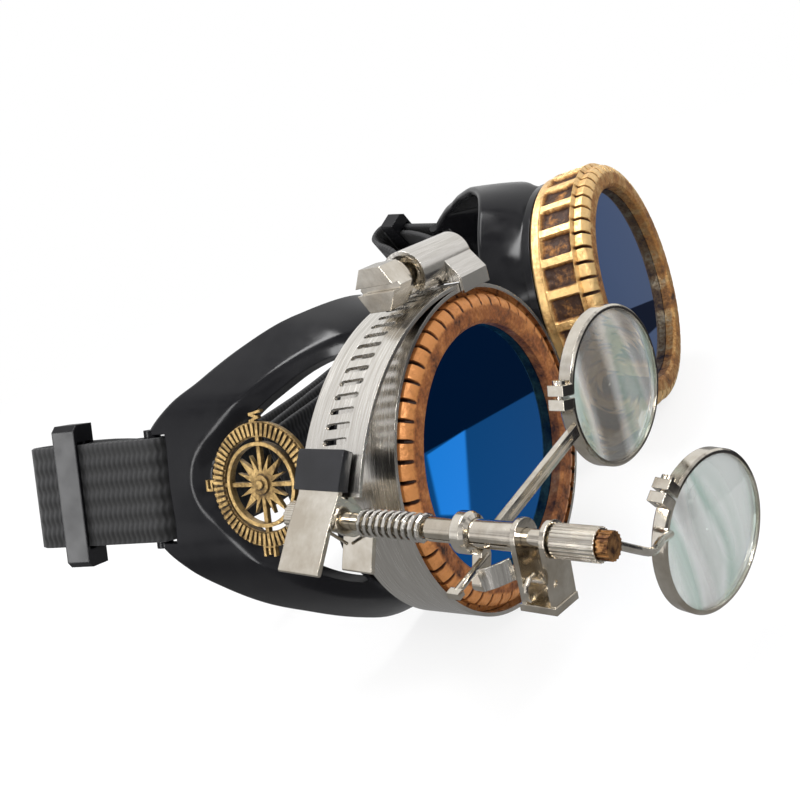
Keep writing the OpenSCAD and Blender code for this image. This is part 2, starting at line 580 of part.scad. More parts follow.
// Smallest space between neighbouring turns of the shaft spring
echo(shaft_spring_gap = (spring_y[1] - spring_y[0]) / spring_turns - 2 * spring_wire);
sleeve_y = [-20.6, -15.9];
sleeve_r = 1.8;
tube_r = 2;
module sleeved(y, r, bore = shaft_r + shaft_fit) difference() {
  translate([0, y[0], 0]) bar_y(y[1] - y[0], r, 40);
  shaft_hole(bore);
}
module shaft_sleeve() color(nickel) on_shaft() difference() {
  sleeved(sleeve_y, sleeve_r);
  translate([-5, sleeve_y[0] - 1, -0.5]) cube([5, 6, 0.25]);
}
lever_y = [-23.9, -21.1];
lever_r = 3;
lever_t = lever_y[1] - lever_y[0];
module lever_plate() color(nickel) on_shaft() difference() {
  union() {
    translate([0, lever_y[0], 0]) lathe_y(48) polygon([[0, 0], [lever_r - 0.9, 0], [lever_r - 0.3, 0.3],
      [lever_r, 0.9], [lever_r, lever_t - 0.4], [lever_r - 0.4, lever_t], [0, lever_t]]);
    plate_y(lever_y[0] - 0.6, 1.6) hull() {
      translate([-0.4, -3.4]) circle(r = 1.1, $fn = 24);
      translate([-2.6, -6.6]) circle(r = 1.1, $fn = 24);
    }
    translate([-8, lever_y[0] - 0.4, -3.6]) bar_x(8, 0.55, 20);
    translate([-8.9, lever_y[0] - 1.4, -4.1]) cube([1.2, 2, 1]);
  }
  shaft_hole();
}
hub_y = [-31, lever_y[0] - 0.1];
upper_root = -26.6;
module upper_hub() color(nickel) on_shaft() difference() {
  sleeved(hub_y, tube_r);
  translate([-5, hub_y[0] + 0.8, -0.2]) cube([5, 10, 0.3]);
}
module arm_place(swing, root) on_shaft() translate([0, root, 0]) rotate([0, -swing, 0]) children();
arm_w = 2;
arm_end = arm_reach - loupe_r - 0.05;
module upper_arm() color(nickel) arm_place(upper_swing, upper_root) difference() {
  translate([tube_r - 0.2, -0.5, -arm_w / 2]) cube([arm_end - tube_r + 0.2, 1, arm_w]);
  translate([tube_r + 2, -1, -0.35]) cube([arm_end - tube_r - 4, 0.8, 0.7]);
  translate([0, -5, 0]) bar_y(10, tube_r, 40);
}
ring_w = 2.6;
bore_r = loupe_r - 0.8;
groove_r = loupe_r - 0.35;
upper_tilt = -3.3;
lower_tilt = -10.8;
lower_root = (tip_y[0] + tip_y[1]) / 2;
lower_back = 4.2;
module ring_place(swing, root, back, tilt)
  arm_place(swing, root) translate([arm_reach, back, 0]) rotate([0, swing, 0]) rotate([0, 0, tilt])
    rotate([0, -swing, 0]) children();
lug_turn = 156;
module loupe_ring() difference() {
  union() {
    translate([0, -ring_w / 2, 0]) lathe_y(96) polygon([
      [bore_r, 0], [loupe_r - 0.3, 0], [loupe_r, 0.3], [loupe_r, ring_w - 0.3], [loupe_r - 0.3, ring_w],
      [bore_r, ring_w], [bore_r, ring_w - 0.5], [groove_r, ring_w - 0.5], [groove_r, 0.5], [bore_r, 0.5]]);
    rotate([0, -lug_turn, 0]) translate([loupe_r - 0.3, -1.4, -1.9]) cube([2.6, 2.8, 3.8]);
  }
  rotate([0, -lug_turn, 0]) translate([loupe_r - 3, -3, -0.25]) cube([8, 6, 0.5]);
  rotate([0, -lug_turn, 0]) translate([loupe_r + 1.2, 0, -4]) cylinder(h = 8, r = 0.55, $fn = 20);
}
module loupe_lens() lathe_y(96) polygon(concat(
  [[0, -1.7]], [for (i = [1:6]) let (r = i / 6 * (groove_r - 0.06)) [r, -1.7 + 1.0 * pow(i / 6, 2)]],
  [for (i = [6:-1:1]) let (r = i / 6 * (groove_r - 0.06)) [r, 1.7 - 1.0 * pow(i / 6, 2)]], [[0, 1.7]]));
module ring_screw() rotate([0, -lug_turn, 0]) translate([loupe_r + 1.2, 0, -2.6]) {
  cylinder(h = 4.6, r = 0.5, $fn = 20);
  difference() {
    cylinder(h = 0.7, r = 1, $fn = 24);
    translate([-2, -0.15, -1]) cube([4, 0.3, 1.3]);
  }
}
module upper_ring() color(nickel) ring_place(upper_swing, upper_root, 0, upper_tilt) loupe_ring();
module upper_loupe_lens() color(clear_glass)
  ring_place(upper_swing, upper_root, 0, upper_tilt) loupe_lens();
module upper_ring_screw() color(steel) ring_place(upper_swing, upper_root, 0, upper_tilt) ring_screw();

// Section: bracket, latch and leaf below the shaft
bracket_y = [-36.4, -31.2];
bracket_turn = 15;
cheek_r = 2.7;
drop = 8.4;
latch_at = [-1.5, -5.2];
module on_bracket() on_shaft() rotate([0, bracket_turn, 0]) children();
module bracket() color(nickel) on_bracket() difference() {
  union() {
    for (y = [bracket_y[0], bracket_y[1] - 0.8]) plate_y(y, 0.8) hull() {
      circle(r = cheek_r, $fn = 32);
      translate([-cheek_r + 0.3, -drop]) square([2 * cheek_r - 0.3, 1]);
    }
    translate([cheek_r - 0.9, bracket_y[0], -drop]) cube([0.9, bracket_y[1] - bracket_y[0], drop]);
    translate([-cheek_r, bracket_y[0] - 0.2, -drop - 0.8])
      cube([2 * cheek_r, bracket_y[1] - bracket_y[0] + 0.4, 1]);
  }
  shaft_hole();
  translate([latch_at[0], -50, latch_at[1]]) bar_y(30, 0.45, 16);
}
loop_r = 1.7;
module wire_latch() color(steel) on_bracket()
  tube(concat(
    [for (y = [bracket_y[1] + 0.9, bracket_y[0] + 1.6]) [latch_at[0], y, latch_at[1]]],
    [for (a = [0:30:300]) [latch_at[0] + loop_r * (cos(a) - 1), bracket_y[0] + 1.6 + a / 257,
      latch_at[1] + loop_r * sin(a)]]), 0.35, [0, 0, 1]);
module leaf_spring() color(steel) on_bracket() ribbon(smooth([
  lean(-2.2, bracket_y[1] + 0.35, -3.4, 0), lean(-3.2, bracket_y[1] + 1.5, -3.8, 0),
  lean(-3.9, bracket_y[1] + 3.2, -4.4, 0), lean(-3.8, bracket_y[1] + 4.9, -5, 0)], 3), 3, 0.4);

// Section: front knob and the lower loupe
knob_y = [-43.1, -36.7];
knob_r = 2.3;
module front_knob() color(nickel) on_shaft() difference() {
  translate([0, knob_y[0], 0]) knurled(knob_y[1] - knob_y[0], knob_r, 24);
  shaft_hole();
}
module shaft_tip() color(brass) on_shaft() difference() {
  translate([0, tip_y[0], 0]) knurled(tip_y[1] - tip_y[0], tip_r, 18);
  translate([0, tip_y[0] + tip_floor, 0]) bar_y(20, shaft_r + shaft_fit, 32);
}
function arm_point(reach, back, side) =
  let (a = lower_swing) [reach * cos(a) - side * sin(a), lower_root + back, reach * sin(a) + side * cos(a)];
module lower_arm() color(nickel) on_shaft()
  tube(smooth([arm_point(tip_r + 0.02, 0, 0), arm_point(8, 0.2, -1), arm_point(14, 1.2, -1.6),
    arm_point(20, 3, -0.6), arm_point(arm_end, lower_back, 0)], 3), 0.6, [0, 1, 0], 8);
module lower_ring() color(nickel) ring_place(lower_swing, lower_root, lower_back, lower_tilt) loupe_ring();
module lower_loupe_lens() color(clear_glass)
  ring_place(lower_swing, lower_root, lower_back, lower_tilt) loupe_lens();
module lower_ring_screw() color(steel)
  ring_place(lower_swing, lower_root, lower_back, lower_tilt) ring_screw();

right_cup();
left_cup();
right_seal();
left_seal();
right_lens();
left_lens();
right_rim();
left_rim();
compass();
bridge_strip();
right_bridge_rivet();
left_bridge_rivet();
strap();
right_slider();
left_slider();
clamp_band();
worm_housing();
worm_screw();
outer_jaw();
inner_jaw();
outer_jaw_sleeve();
inner_jaw_sleeve();
jaw_spring();
loupe_shaft();
rear_knob();
shaft_spring();
shaft_sleeve();
lever_plate();
upper_hub();
upper_arm();
upper_ring();
upper_loupe_lens();
upper_ring_screw();
bracket();
wire_latch();
leaf_spring();
front_knob();
shaft_tip();
lower_arm();
lower_ring();
lower_loupe_lens();
lower_ring_screw();
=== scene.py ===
import json
import math
import bpy
import bmesh
from mathutils import Matrix, Vector


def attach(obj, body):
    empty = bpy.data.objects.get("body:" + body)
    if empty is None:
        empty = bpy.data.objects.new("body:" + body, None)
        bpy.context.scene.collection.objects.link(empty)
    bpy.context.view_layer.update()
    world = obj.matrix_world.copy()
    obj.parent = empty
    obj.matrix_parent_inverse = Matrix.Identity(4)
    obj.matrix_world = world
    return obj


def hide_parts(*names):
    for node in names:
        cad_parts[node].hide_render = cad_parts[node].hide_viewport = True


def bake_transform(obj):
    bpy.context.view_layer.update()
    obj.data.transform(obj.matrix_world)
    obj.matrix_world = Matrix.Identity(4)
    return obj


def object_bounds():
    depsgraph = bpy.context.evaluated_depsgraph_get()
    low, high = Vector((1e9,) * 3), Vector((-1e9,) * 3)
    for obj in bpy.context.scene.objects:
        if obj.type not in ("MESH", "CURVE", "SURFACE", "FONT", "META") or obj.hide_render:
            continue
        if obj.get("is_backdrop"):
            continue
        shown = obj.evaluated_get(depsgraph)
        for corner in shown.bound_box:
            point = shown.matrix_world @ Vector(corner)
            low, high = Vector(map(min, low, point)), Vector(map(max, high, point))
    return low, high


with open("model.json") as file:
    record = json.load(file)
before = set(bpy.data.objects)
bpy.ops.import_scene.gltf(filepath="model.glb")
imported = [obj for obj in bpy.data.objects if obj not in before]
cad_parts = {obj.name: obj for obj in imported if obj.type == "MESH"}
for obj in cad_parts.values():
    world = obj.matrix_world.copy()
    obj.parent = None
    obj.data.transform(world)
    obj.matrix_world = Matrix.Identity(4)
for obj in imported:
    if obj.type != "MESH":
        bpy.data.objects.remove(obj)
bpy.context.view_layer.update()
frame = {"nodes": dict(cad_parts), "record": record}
scene = bpy.context.scene
MM = 0.001

# Camera: fitted to both rims, the shaft and the loupes of the photograph
CAM_PLACE = (-0.121591, -0.092107, 0.077242)
CAM_RIGHT = (0.511621, -0.780827, -0.358543)
CAM_UP = (0.514069, -0.056185, 0.855907)
CAM_AHEAD = (0.688460, 0.622216, -0.372654)
FOCAL_PX = 926.183
SENSOR_MM = 36.0
FRAME_PX = 800
cam_data = bpy.data.cameras.new("camera")
cam_data.sensor_width = SENSOR_MM
cam_data.lens = SENSOR_MM * FOCAL_PX / FRAME_PX
cam_data.clip_start = 0.01
cam_data.clip_end = 10.0
camera = bpy.data.objects.new("camera", cam_data)
scene.collection.objects.link(camera)
camera.matrix_world = Matrix([
    [CAM_RIGHT[i], CAM_UP[i], -CAM_AHEAD[i], CAM_PLACE[i]] for i in range(3)] + [[0, 0, 0, 1]])
scene.camera = camera

# Sizes in millimetres, as the solids have them
CUP_SPACING = 70.8
WING_ROLL = math.radians(25)
LEFT_TURN = math.radians(7.7)
LEFT_TIP = math.radians(4.7)
LEFT_LEAD = 1.5
NECK_R = 27.0
NECK_BORE_R = 23.8
NECK_Y = 4.65
SHOULDER_Y = 12.7
SKIRT_Y = 15.5
WALL_T = 2.4
STRAP_Z = -1.75
STRAP_W = 20.0
STRAP_T = 1.3
SLOT_Y = (52.4, 55.8)
BAR_AT = (33.0, 57.2)
BAR_R = 1.6
LUG_AT = (-31.2, 21.0)
LUG_W = 2
LUG_H = 13
LUG_PAST = 3.1
LUG_ROOT = 5
RIVET_OFF = 0.6
RIVET_HOLE_R = 1.46
SHOULDER_OVER = 1.6
SHOULDER_W = 1.8
CUT_FROM, CUT_TO = 15, 50
SLOT_OPEN = 70


def turn(axis, angle):
    return Matrix.Rotation(angle, 4, axis)


# Places of a cup's own axes: outward, back and up
RIGHT_CUP = Matrix.Scale(-1, 4, (1, 0, 0)) @ turn("Y", -WING_ROLL)
LEFT_CUP = (Matrix.Translation((CUP_SPACING, -LEFT_LEAD, 0)) @ turn("Z", LEFT_TURN)
            @ turn("X", -LEFT_TIP) @ turn("Y", -WING_ROLL))


# Node helpers
class Mat:
    """A material with short calls for its nodes; sizes in millimetres."""

    def __init__(self, name, bevel=0.0):
        self.m = bpy.data.materials.new(name)
        self.m.use_nodes = True
        self.t = self.m.node_tree
        self.p = self.t.nodes["Principled BSDF"]
        self.obj = self.add("ShaderNodeTexCoord").outputs["Object"]
        self.round = None
        if bevel:
            soft = self.add("ShaderNodeBevel", samples=4)
            self.put(soft, "Radius", bevel * MM)
            self.round = soft.outputs[0]
            self.put(self.p, "Normal", self.round)

    def add(self, kind, **settings):
        n = self.t.nodes.new(kind)
        for k, v in settings.items():
            setattr(n, k, v)
        return n

    def put(self, node, socket, value):
        s = node.inputs[socket]
        if isinstance(value, bpy.types.NodeSocket):
            self.t.links.new(value, s)
        elif isinstance(value, tuple) and len(value) == 3 and s.type == "RGBA":
            s.default_value = (*value, 1)
        else:
            s.default_value = value
        return node

    def base(self, **values):
        for k, v in values.items():
            self.put(self.p, k.replace("_", " "), v)
        return self

    def noise(self, scale, detail=3.0, rough=0.5, vector=None, distort=0.0):
        n = self.add("ShaderNodeTexNoise")
        self.put(n, "Vector", vector or self.obj)
        for k, v in (("Scale", scale), ("Detail", detail), ("Roughness", rough), ("Distortion", distort)):
            self.put(n, k, v)
        return n.outputs["Fac"]

    def ramp(self, fac, stops):
        n = self.add("ShaderNodeValToRGB")
        e = n.color_ramp.elements
        while len(e) < len(stops):
            e.new(0.5)
        for k, (place, colour) in enumerate(stops):
            e[k].position = place
            e[k].color = (*colour, 1)
        self.put(n, "Fac", fac)
        return n.outputs["Color"]

    def mix(self, fac, a, b):
        n = self.add("ShaderNodeMix", data_type="RGBA")
        for socket, v in ((0, fac), (6, a), (7, b)):
            self.put(n, socket, v)
        return n.outputs[2]

    def math(self, op, a, b=None, clamp=False):
        n = self.add("ShaderNodeMath", operation=op, use_clamp=clamp)
        self.put(n, 0, a)
        if b is not None:
            self.put(n, 1, b)
        return n.outputs[0]

    def span(self, value, low, high, to_low=0.0, to_high=1.0):
        n = self.add("ShaderNodeMapRange")
        self.put(n, "Value", value)
        for k, v in (("From Min", low), ("From Max", high), ("To Min", to_low), ("To Max", to_high)):
            self.put(n, k, v)
        return n.outputs[0]

    def scaled(self, scale, rot=(0, 0, 0), vector=None):
        n = self.add("ShaderNodeMapping")
        self.put(n, "Vector", vector or self.obj)
        self.put(n, "Scale", scale)
        self.put(n, "Rotation", rot)
        return n.outputs[0]

    def hollow(self, reach):
        """1 in the open and 0 deep in a groove of the piece itself."""
        n = self.add("ShaderNodeAmbientOcclusion", samples=6, only_local=True)
        self.put(n, "Distance", reach * MM)
        return n.outputs["AO"]

    def bump(self, height, strength, distance):
        n = self.add("ShaderNodeBump")
        self.put(n, "Height", height)
        self.put(n, "Strength", strength)
        self.put(n, "Distance", distance * MM)
        if self.round:
            self.put(n, "Normal", self.round)
        self.put(self.p, "Normal", n.outputs[0])
        return self


def gloss_black():
    m = Mat("gloss_black", 0.4)
    m.base(Base_Color=m.ramp(m.noise(60, 2), [(0.3, (0.003, 0.003, 0.004)), (0.7, (0.007, 0.007, 0.008))]),
           Roughness=m.span(m.noise(300, 4), 0.3, 0.7, 0.12, 0.22), Specular_IOR_Level=0.22)
    return m.bump(m.noise(45, 2), 0.10, 0.8).m


def matt_rubber():
    m = Mat("matt_rubber")
    m.base(Base_Color=m.ramp(m.noise(300), [(0.3, (0.010, 0.010, 0.010)), (0.7, (0.020, 0.020, 0.020))]),
           Roughness=0.55)
    return m.bump(m.noise(900, 2), 0.2, 0.3).m


def vinyl():
    m = Mat("vinyl", 0.35)
    m.base(Base_Color=m.ramp(m.noise(150), [(0.3, (0.005, 0.005, 0.006)), (0.7, (0.012, 0.012, 0.014))]),
           Roughness=m.span(m.noise(400), 0.3, 0.7, 0.12, 0.22), Specular_IOR_Level=0.45)
    return m.bump(m.noise(250, 3), 0.15, 0.4).m


def nickel():
    m = Mat("nickel", 0.18)
    smear = m.noise(140, 4, 0.6)
    m.base(Base_Color=m.ramp(smear, [(0.35, (0.56, 0.50, 0.41)), (0.65, (0.78, 0.73, 0.64))]),
           Metallic=1.0, Roughness=m.span(m.noise(500, 4), 0.3, 0.7, 0.07, 0.18))
    return m.bump(m.noise(260, 3), 0.08, 0.3).m


def steel():
    m = Mat("steel", 0.12)
    grain = m.noise(110, 4, 0.6, m.scaled((1, 30, 1)))
    bright = m.ramp(grain, [(0.3, (0.58, 0.55, 0.50)), (0.7, (0.78, 0.75, 0.70))])
    # Painted shade: the steel's colour turns near-black deep in slots and grooves, following ambient
    # occlusion
    m.base(Base_Color=m.mix(m.span(m.hollow(1.6), 0.25, 0.75), (0.05, 0.045, 0.04), bright),
           Metallic=1.0, Roughness=m.span(grain, 0.3, 0.7, 0.16, 0.30))
    return m.bump(grain, 0.05, 0.2).m


def worn_metal(name, dark, mid, light, reach, shine=0.8, raised=False):
    """Rubbed paint: light on what stands out, dark in the grooves, blotched in between."""
    m = Mat(name, 0.15 if raised else 0.25)
    blotch = m.noise(260, 5, 0.62)
    grit = m.noise(1500, 3, 0.6)
    wear = m.math("ADD", m.math("MULTIPLY", blotch, 0.7), m.math("MULTIPLY", grit, 0.3))
    wear = m.math("ADD", wear, m.span(m.hollow(reach), 0.3, 0.95, -0.22, 0.06))
    if raised:
        height = m.add("ShaderNodeAttribute", attribute_name="height").outputs["Fac"]
        wear = m.math("ADD", wear, m.span(height, 0, 1, -0.27, 0.10))
    colour = m.ramp(wear, [(0.28, dark), (0.42, mid), (0.62, light)])
    m.base(Base_Color=colour, Metallic=m.span(wear, 0.30, 0.5, 0.15, shine),
           Roughness=m.span(wear, 0.35, 0.6, 0.6, 0.34))
    return m.bump(m.noise(620, 4, 0.65), 0.7, 0.5).m


def mirror_lens(name, low, high):
    m = Mat(name)
    # Painted reflection: the mirror's colour drifts slowly across the lens between a darker and a lighter
    # blue, standing in for uneven reflections
    m.base(Base_Color=m.ramp(m.noise(20, 1), [(0.35, low), (0.65, high)]), Metallic=1.0,
           Roughness=m.span(m.noise(60, 2), 0.3, 0.7, 0.015, 0.04))
    return m.m


def brown_tip():
    m = Mat("brown_tip", 0.12)
    n = m.noise(900, 4, 0.6)
    m.base(Base_Color=m.ramp(n, [(0.4, (0.05, 0.018, 0.006)), (0.6, (0.34, 0.17, 0.06))]),
           Metallic=0.8, Roughness=0.4)
    return m.bump(n, 0.3, 0.2).m


def clear_glass():
    m = Mat("clear_glass")
    # Painted reflection: long streaks of pale green and dark grey run through the glass's near-white colour,
    # standing in for what the lens reflects
    painted_reflection_streaks = m.noise(26, 1.5, 0.4, m.scaled((1.6, 1.6, 0.25), (0, 0.3, 0)), 1.4)
    m.base(Base_Color=m.ramp(painted_reflection_streaks, [(0.36, (0.93, 0.97, 0.95)), (0.45, (0.55, 0.70, 0.63)),
                                       (0.50, (0.95, 0.97, 0.96)), (0.62, (0.32, 0.31, 0.29))]),
           Roughness=m.span(m.noise(80, 2), 0.3, 0.7, 0.0, 0.015),
           IOR=1.3, Transmission_Weight=0.72, Coat_Weight=1.0, Coat_Roughness=0.01)
    return m.m


def webbing():
    """Knitted elastic: rows of small stitches along the strap."""
    m = Mat("webbing")
    uv = m.add("ShaderNodeUVMap", uv_map="strap").outputs[0]
    parts = m.add("ShaderNodeSeparateXYZ")
    m.put(parts, 0, uv)
    along, across = parts.outputs[0], parts.outputs[1]
    row = m.math("MULTIPLY", across, 2 * math.pi / 3.3)
    lean = m.math("MULTIPLY", m.math("SINE", row), 0.9)
    stitch = m.math("SINE", m.math("ADD", m.math("MULTIPLY", along, 2 * math.pi / 1.1), lean))
    height = m.math("ADD", m.math("MULTIPLY", m.math("COSINE", row), 0.6), m.math("MULTIPLY", stitch, 0.4))
    # Painted shade and highlight: the colour follows the knit's height, near-black in the hollows between
    # rows and lighter on the stitch tops
    shade = m.span(height, -1, 1)
    m.base(Base_Color=m.ramp(shade, [(0.2, (0.002, 0.002, 0.002)), (0.8, (0.016, 0.016, 0.017))]),
           Roughness=0.75, Sheen_Weight=0.08)
    return m.bump(shade, 0.9, 0.35).m


GLOSS = gloss_black()
RUBBER = matt_rubber()
VINYL = vinyl()
NICKEL = nickel()
STEEL = steel()
COPPER = worn_metal("copper", (0.022, 0.007, 0.003), (0.26, 0.085, 0.024), (0.60, 0.25, 0.08),
                    reach=2.0, shine=0.45, raised=True)
GOLD = worn_metal("gold", (0.035, 0.012, 0.004), (0.34, 0.15, 0.04), (0.90, 0.60, 0.26),
                  reach=2.0, shine=0.85, raised=True)
BLUE = mirror_lens("blue_lens", (0.002, 0.19, 0.66), (0.004, 0.21, 0.74))
PALE_BLUE = mirror_lens("pale_blue_lens", (0.08, 0.19, 0.48), (0.10, 0.22, 0.55))
BRASS = worn_metal("old_brass", (0.016, 0.009, 0.003), (0.11, 0.065, 0.022), (0.40, 0.27, 0.11), reach=1.2)
TIP = brown_tip()
GLASS = clear_glass()
WEB = webbing()
DRESS = {"black_shell": GLOSS, "rubber": RUBBER, "vinyl": VINYL, "nickel": NICKEL, "steel_strip": STEEL,
         "copper_rim": COPPER, "blue_lens": BLUE, "antique_brass": BRASS, "brass_tip": TIP,
         "clear_lens": GLASS, "webbing": WEB}
for row in frame["record"]["subparts"]:
    node = frame["nodes"][row["node"]]
    node.data.materials.clear()
    node.data.materials.append(DRESS[row["material_slot"]])
frame["nodes"]["left_lens"].data.materials[0] = PALE_BLUE


# Mesh helpers
def piece(name, points, faces, material, place=Matrix.Identity(4), smooth_below=40):
    """Makes an object from millimetre points given in a cup's own axes."""
    mesh = bpy.data.meshes.new(name)
    mesh.from_pydata([(place @ Vector(p)) * MM for p in points], [], faces)
    mesh.update()
    bm = bmesh.new()
    bm.from_mesh(mesh)
    bmesh.ops.recalc_face_normals(bm, faces=bm.faces)
    bm.to_mesh(mesh)
    bm.free()
    o = bpy.data.objects.new(name, mesh)
    scene.collection.objects.link(o)
    mesh.materials.append(material)
    shade(mesh, smooth_below)
    return o


def shade(mesh, angle):
    mesh.shade_smooth()
    mesh.set_sharp_from_angle(angle=math.radians(angle))


def cut(target, cutter, operation="DIFFERENCE"):
    """Applies one boolean and removes the tool."""
    mod = target.modifiers.new("cut", "BOOLEAN")
    mod.operation = operation
    mod.object = cutter
    mod.solver = "EXACT"
    made = bpy.data.meshes.new_from_object(target.evaluated_get(bpy.context.evaluated_depsgraph_get()))
    target.modifiers.clear()
    old = target.data
    target.data = made
    bpy.data.meshes.remove(old)
    bpy.data.objects.remove(cutter)


def prism(name, outline, low, high, place, material):
    """A cutter: an outline in depth and height that runs along the outward axis."""
    n = len(outline)
    points = [(o, b, v) for o in (low, high) for b, v in outline]
    faces = [list(range(n)), list(range(2 * n - 1, n - 1, -1))]
    faces += [[i, (i + 1) % n, n + (i + 1) % n, n + i] for i in range(n)]
    return piece(name, points, faces, material, place)


def bar(name, a, b, r, material, place, sides=32, round_end=0.0):
    """A round bar between two points."""
    a, b = Vector(a), Vector(b)
    d = (b - a).normalized()
    u = d.orthogonal().normalized()
    w = d.cross(u)
    ends = [(a, r - round_end), (a + d * round_end, r), (b - d * round_end, r), (b, r - round_end)]
    if not round_end:
        ends = [(a, r), (b, r)]
    points = [c + s * (math.cos(t) * u + math.sin(t) * w) for c, s in ends
              for t in (2 * math.pi * k / sides for k in range(sides))]
    faces = [list(range(sides)), list(range(len(points) - 1, len(points) - sides - 1, -1))]
    for i in range(len(ends) - 1):
        faces += [[i * sides + k, i * sides + (k + 1) % sides, (i + 1) * sides + (k + 1) % sides,
                   (i + 1) * sides + k] for k in range(sides)]
    return piece(name, points, faces, material, place)


# Eye cups: one moulding, described by the radius at an angle about its axis and a depth
# Angle in degrees from the temple side, then the face edge's radius and depth
EDGE = [(0, 34.4, 58.4), (9, 34.6, 58.2), (16, 35.4, 56), (24, 36.0, 50), (31, 35.2, 44.8),
        (43, 34.2, 38.4), (54, 33.9, 32), (61, 33.2, 29), (69, 32.6, 26.6), (81, 31.8, 24.8),
        (95, 30.4, 24.5), (112, 28.9, 24.5), (150, 28.8, 24.5), (180, 28.8, 24.5), (215, 28.8, 24.5),
        (245, 29.8, 24.5), (262, 31.6, 24.8), (280, 32.5, 25.4), (292, 32.9, 26.8), (306, 34.2, 32),
        (315, 35.6, 38.4), (325, 36.8, 44.8), (332, 37.4, 50), (339, 36.6, 56), (347, 35.0, 58.2)]


def edge_at(angle):
    """Radius and depth of the face edge, smooth through the points of EDGE."""
    angle %= 360
    n = len(EDGE)
    k = max(i for i in range(n) if EDGE[i][0] <= angle)
    rows = [EDGE[(k + d) % n] for d in (-1, 0, 1, 2)]
    span = (rows[2][0] - rows[1][0]) % 360
    t = ((angle - rows[1][0]) % 360) / span
    before, after = (rows[1][0] - rows[0][0]) % 360, (rows[3][0] - rows[2][0]) % 360
    out = []
    for c in (1, 2):
        m1 = (rows[2][c] - rows[0][c]) * span / (before + span)
        m2 = (rows[3][c] - rows[1][c]) * span / (span + after)
        out.append((2 * t**3 - 3 * t**2 + 1) * rows[1][c] + (t**3 - 2 * t**2 + t) * m1
                   + (3 * t**2 - 2 * t**3) * rows[2][c] + (t**3 - t**2) * m2)
    return out


# Window: two arcs joined by straight sides, as depth and height
WIN_FRONT, WIN_BIG, WIN_SMALL = 17.6, (12.0, 21.5), (37.0, 6.0)
WIN_Z = -0.5
WIN_MID = 22
BEVEL_W = 3.6
BEVEL_D = 2.0


def window_gap(b, v):
    """Distance of a point outside the window's edge, less than nothing inside it."""
    v = abs(v - WIN_Z)
    (b1, r1), (b2, r2) = WIN_BIG, WIN_SMALL
    lean = math.asin((r1 - r2) / (b2 - b1))
    along = (b - b1) * math.cos(lean) - v * math.sin(lean)
    length = (b2 - b1) * math.cos(lean)
    if along <= 0:
        return math.hypot(b - b1, v) - r1
    if along >= length:
        return math.hypot(b - b2, v) - r2
    return (b - b1) * math.sin(lean) + v * math.cos(lean) - r1


def window_outline(steps=90):
    """Walks round the window from its front lower corner."""
    out = []
    for k in range(steps + 1):
        a = math.radians(-100 + 200 * k / steps)
        lo, hi = 0.0, 60.0
        for _ in range(30):
            mid = (lo + hi) / 2
            if window_gap(WIN_MID + mid * math.cos(a), WIN_Z + mid * math.sin(a)) < 0:
                lo = mid
            else:
                hi = mid
        b, v = WIN_MID + lo * math.cos(a), WIN_Z + lo * math.sin(a)
        if b > WIN_FRONT:
            out.append((b, v))
    return [(WIN_FRONT, out[0][1])] + out + [(WIN_FRONT, out[-1][1])]


def ease(t):
    t = min(max(t, 0.0), 1.0)
    return t * t * (3 - 2 * t)


def shell_r(angle, s):
    """Outer radius: s runs from the shoulder at 0 to the face edge at 1."""
    edge_r, edge_b = edge_at(angle)
    temple = ease((math.cos(math.radians(angle)) + 0.15) / 1.0)
    nose = ease(-math.cos(math.radians(angle)) * 2)
    power = 0.95 - 0.58 * temple + 0.9 * nose
    start = NECK_R + 0.3
    r = start + (edge_r - start) * s ** power
    b = SKIRT_Y + (edge_b - SKIRT_Y) * s
    if temple > 0:
        gap = window_gap(b, r * math.sin(math.radians(angle)))
        r -= BEVEL_D * ease(1 - gap / BEVEL_W) * ease((b - SKIRT_Y) / 2)
    return r, b


def shell_profile(angle, rows=56, inner_rows=30):
    """One closed section of the moulding at an angle about its axis."""
    shoulder_r = NECK_R + SHOULDER_OVER
    out = [(NECK_BORE_R, NECK_Y), (NECK_R, NECK_Y), (NECK_R, SHOULDER_Y), (shoulder_r, SHOULDER_Y),
           (shoulder_r, SHOULDER_Y + SHOULDER_W), (NECK_R + 0.3, SHOULDER_Y + 1.9)]
    out += [shell_r(angle, i / rows) for i in range(rows + 1)]
    r, b = out[-1]
    half = WALL_T / 2
    out += [(r - half + half * math.cos(t), b + half * math.sin(t))
            for t in (math.pi * k / 6 for k in range(1, 6))]
    for i in range(inner_rows, -1, -1):
        r, b = shell_r(angle, i / inner_rows)
        out.append((max(r - WALL_T, NECK_BORE_R), b + (1 - i / inner_rows) * WALL_T))
    return out


